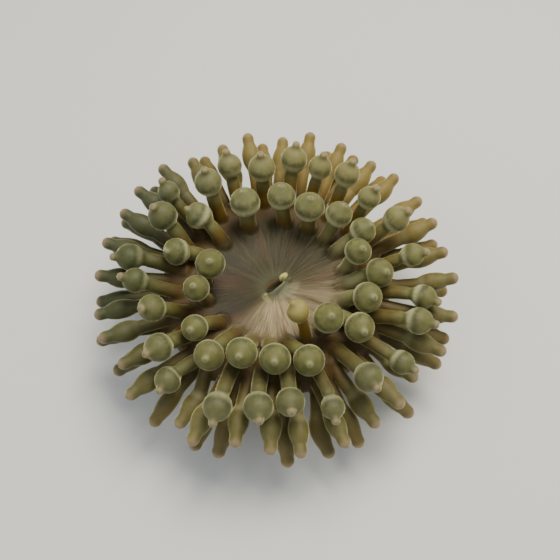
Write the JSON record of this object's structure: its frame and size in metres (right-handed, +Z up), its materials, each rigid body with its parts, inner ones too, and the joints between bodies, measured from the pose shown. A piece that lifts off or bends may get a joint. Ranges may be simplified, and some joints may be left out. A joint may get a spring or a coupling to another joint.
{
  "type": "bubble-tip sea anemone",
  "caption": "Open sea anemone at rest on its pedal disc: a short column, a shallow oral disc with a slit mouth, and a crown of bulb-tipped tentacles.",
  "frame": {"origin": "middle of the pedal disc's flat underside, on the floor", "axes": "+Z up through the mouth; +Y is the far side of the crown as the animal is looked down on, -Y the near side, +X to the right"},
  "size_m": [0.2039, 0.199, 0.0954],
  "materials": {
    "foot_skin": "smooth moist flesh, brown",
    "column_skin": "smooth moist flesh, brown with paler streaks",
    "disc_skin": "satin moist flesh, taupe with fine pale rays",
    "lip_skin": "moist folded flesh, grey-green",
    "tentacle_skin": "moist flesh, olive brown, paler at the tips",
    "bulb_skin": "taut glossy flesh, olive with a pale band"
  },
  "bodies": {
    "root": {"pedal_disc": "foot_skin", "column_lower": "column_skin", "column_upper": "column_skin", "oral_disc": "disc_skin", "mouth": "lip_skin", "crown_1": "tentacle_skin", "crown_2": "tentacle_skin", "crown_3": "tentacle_skin", "crown_4": "tentacle_skin", "crown_5": "tentacle_skin", "crown_6": "tentacle_skin", "crown_7": "tentacle_skin", "crown_8": "tentacle_skin", "tentacle_01_stalk": "tentacle_skin", "tentacle_01_bulb": "bulb_skin", "tentacle_02_stalk": "tentacle_skin", "tentacle_02_bulb": "bulb_skin", "tentacle_03_stalk": "tentacle_skin", "tentacle_03_bulb": "bulb_skin", "tentacle_04_stalk": "tentacle_skin", "tentacle_04_bulb": "bulb_skin", "tentacle_05_stalk": "tentacle_skin", "tentacle_05_bulb": "bulb_skin", "tentacle_06_stalk": "tentacle_skin", "tentacle_06_bulb": "bulb_skin", "tentacle_07_stalk": "tentacle_skin", "tentacle_07_bulb": "bulb_skin", "tentacle_08_stalk": "tentacle_skin", "tentacle_08_bulb": "bulb_skin", "tentacle_09_stalk": "tentacle_skin", "tentacle_09_bulb": "bulb_skin", "tentacle_10_stalk": "tentacle_skin", "tentacle_10_bulb": "bulb_skin", "tentacle_11_stalk": "tentacle_skin", "tentacle_11_bulb": "bulb_skin", "tentacle_12_stalk": "tentacle_skin", "tentacle_12_bulb": "bulb_skin", "tentacle_13_stalk": "tentacle_skin", "tentacle_13_bulb": "bulb_skin", "tentacle_14_stalk": "tentacle_skin", "tentacle_14_bulb": "bulb_skin", "tentacle_15_stalk": "tentacle_skin", "tentacle_15_bulb": "bulb_skin", "tentacle_16_stalk": "tentacle_skin", "tentacle_16_bulb": "bulb_skin", "tentacle_17_stalk": "tentacle_skin", "tentacle_17_bulb": "bulb_skin", "tentacle_18_stalk": "tentacle_skin", "tentacle_18_bulb": "bulb_skin", "tentacle_19_stalk": "tentacle_skin", "tentacle_19_bulb": "bulb_skin", "tentacle_20_stalk": "tentacle_skin", "tentacle_20_bulb": "bulb_skin"}
  },
  "joints": []
}
